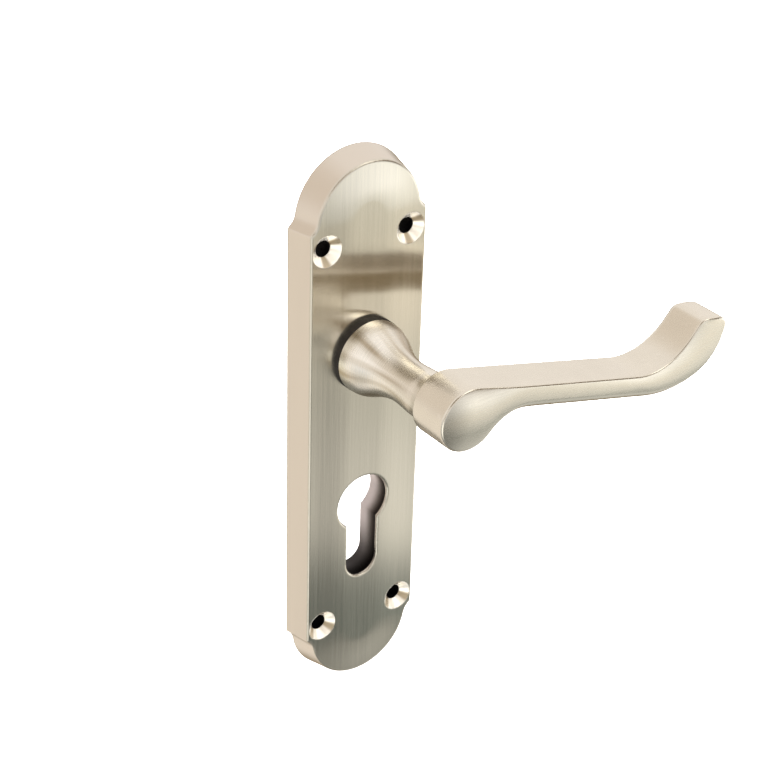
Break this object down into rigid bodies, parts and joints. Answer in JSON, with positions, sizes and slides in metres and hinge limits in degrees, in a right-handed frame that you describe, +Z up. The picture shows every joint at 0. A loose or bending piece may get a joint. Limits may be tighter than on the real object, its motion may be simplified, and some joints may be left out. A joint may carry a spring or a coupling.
{
  "type": "lever door handle on backplate",
  "caption": "Sprung lever handle on a shouldered, arched backplate with a euro-profile cut-out and four countersunk fixing holes.",
  "frame": {"origin": "on the lever's turning axis, in the plane of the door's face", "axes": "+Z up along the backplate, +Y into the door, +X the way the lever arm points"},
  "size_m": [0.1138, 0.056, 0.172],
  "materials": {
    "satin_plate": "satin nickel, brushed up and down",
    "satin_lever": "satin nickel, softly polished",
    "black_nylon": "moulded nylon",
    "spring_steel": "oiled spring wire",
    "zinc_steel": "zinc plated pressed steel"
  },
  "bodies": {
    "plate": {"backplate": "satin_plate", "plate_bush": "black_nylon", "return_spring": "spring_steel", "cover_plate": "zinc_steel", "cover_screws": "zinc_steel"},
    "lever": {"lever_neck": "satin_lever", "lever_arm": "satin_lever", "joint_pin": "spring_steel", "drive_plate": "zinc_steel", "retaining_washer": "zinc_steel", "retaining_circlip": "spring_steel"}
  },
  "joints": [
    {"name": "lever_turn", "type": "hinge", "parent": "plate", "child": "lever", "pos_m": [0, 0, 0], "axis": [0, 1, 0], "range_deg": [0, 45], "stiffness_Nm_per_rad": 0.9, "springref_deg": -28.65, "deforming": ["return_spring"]}
  ]
}
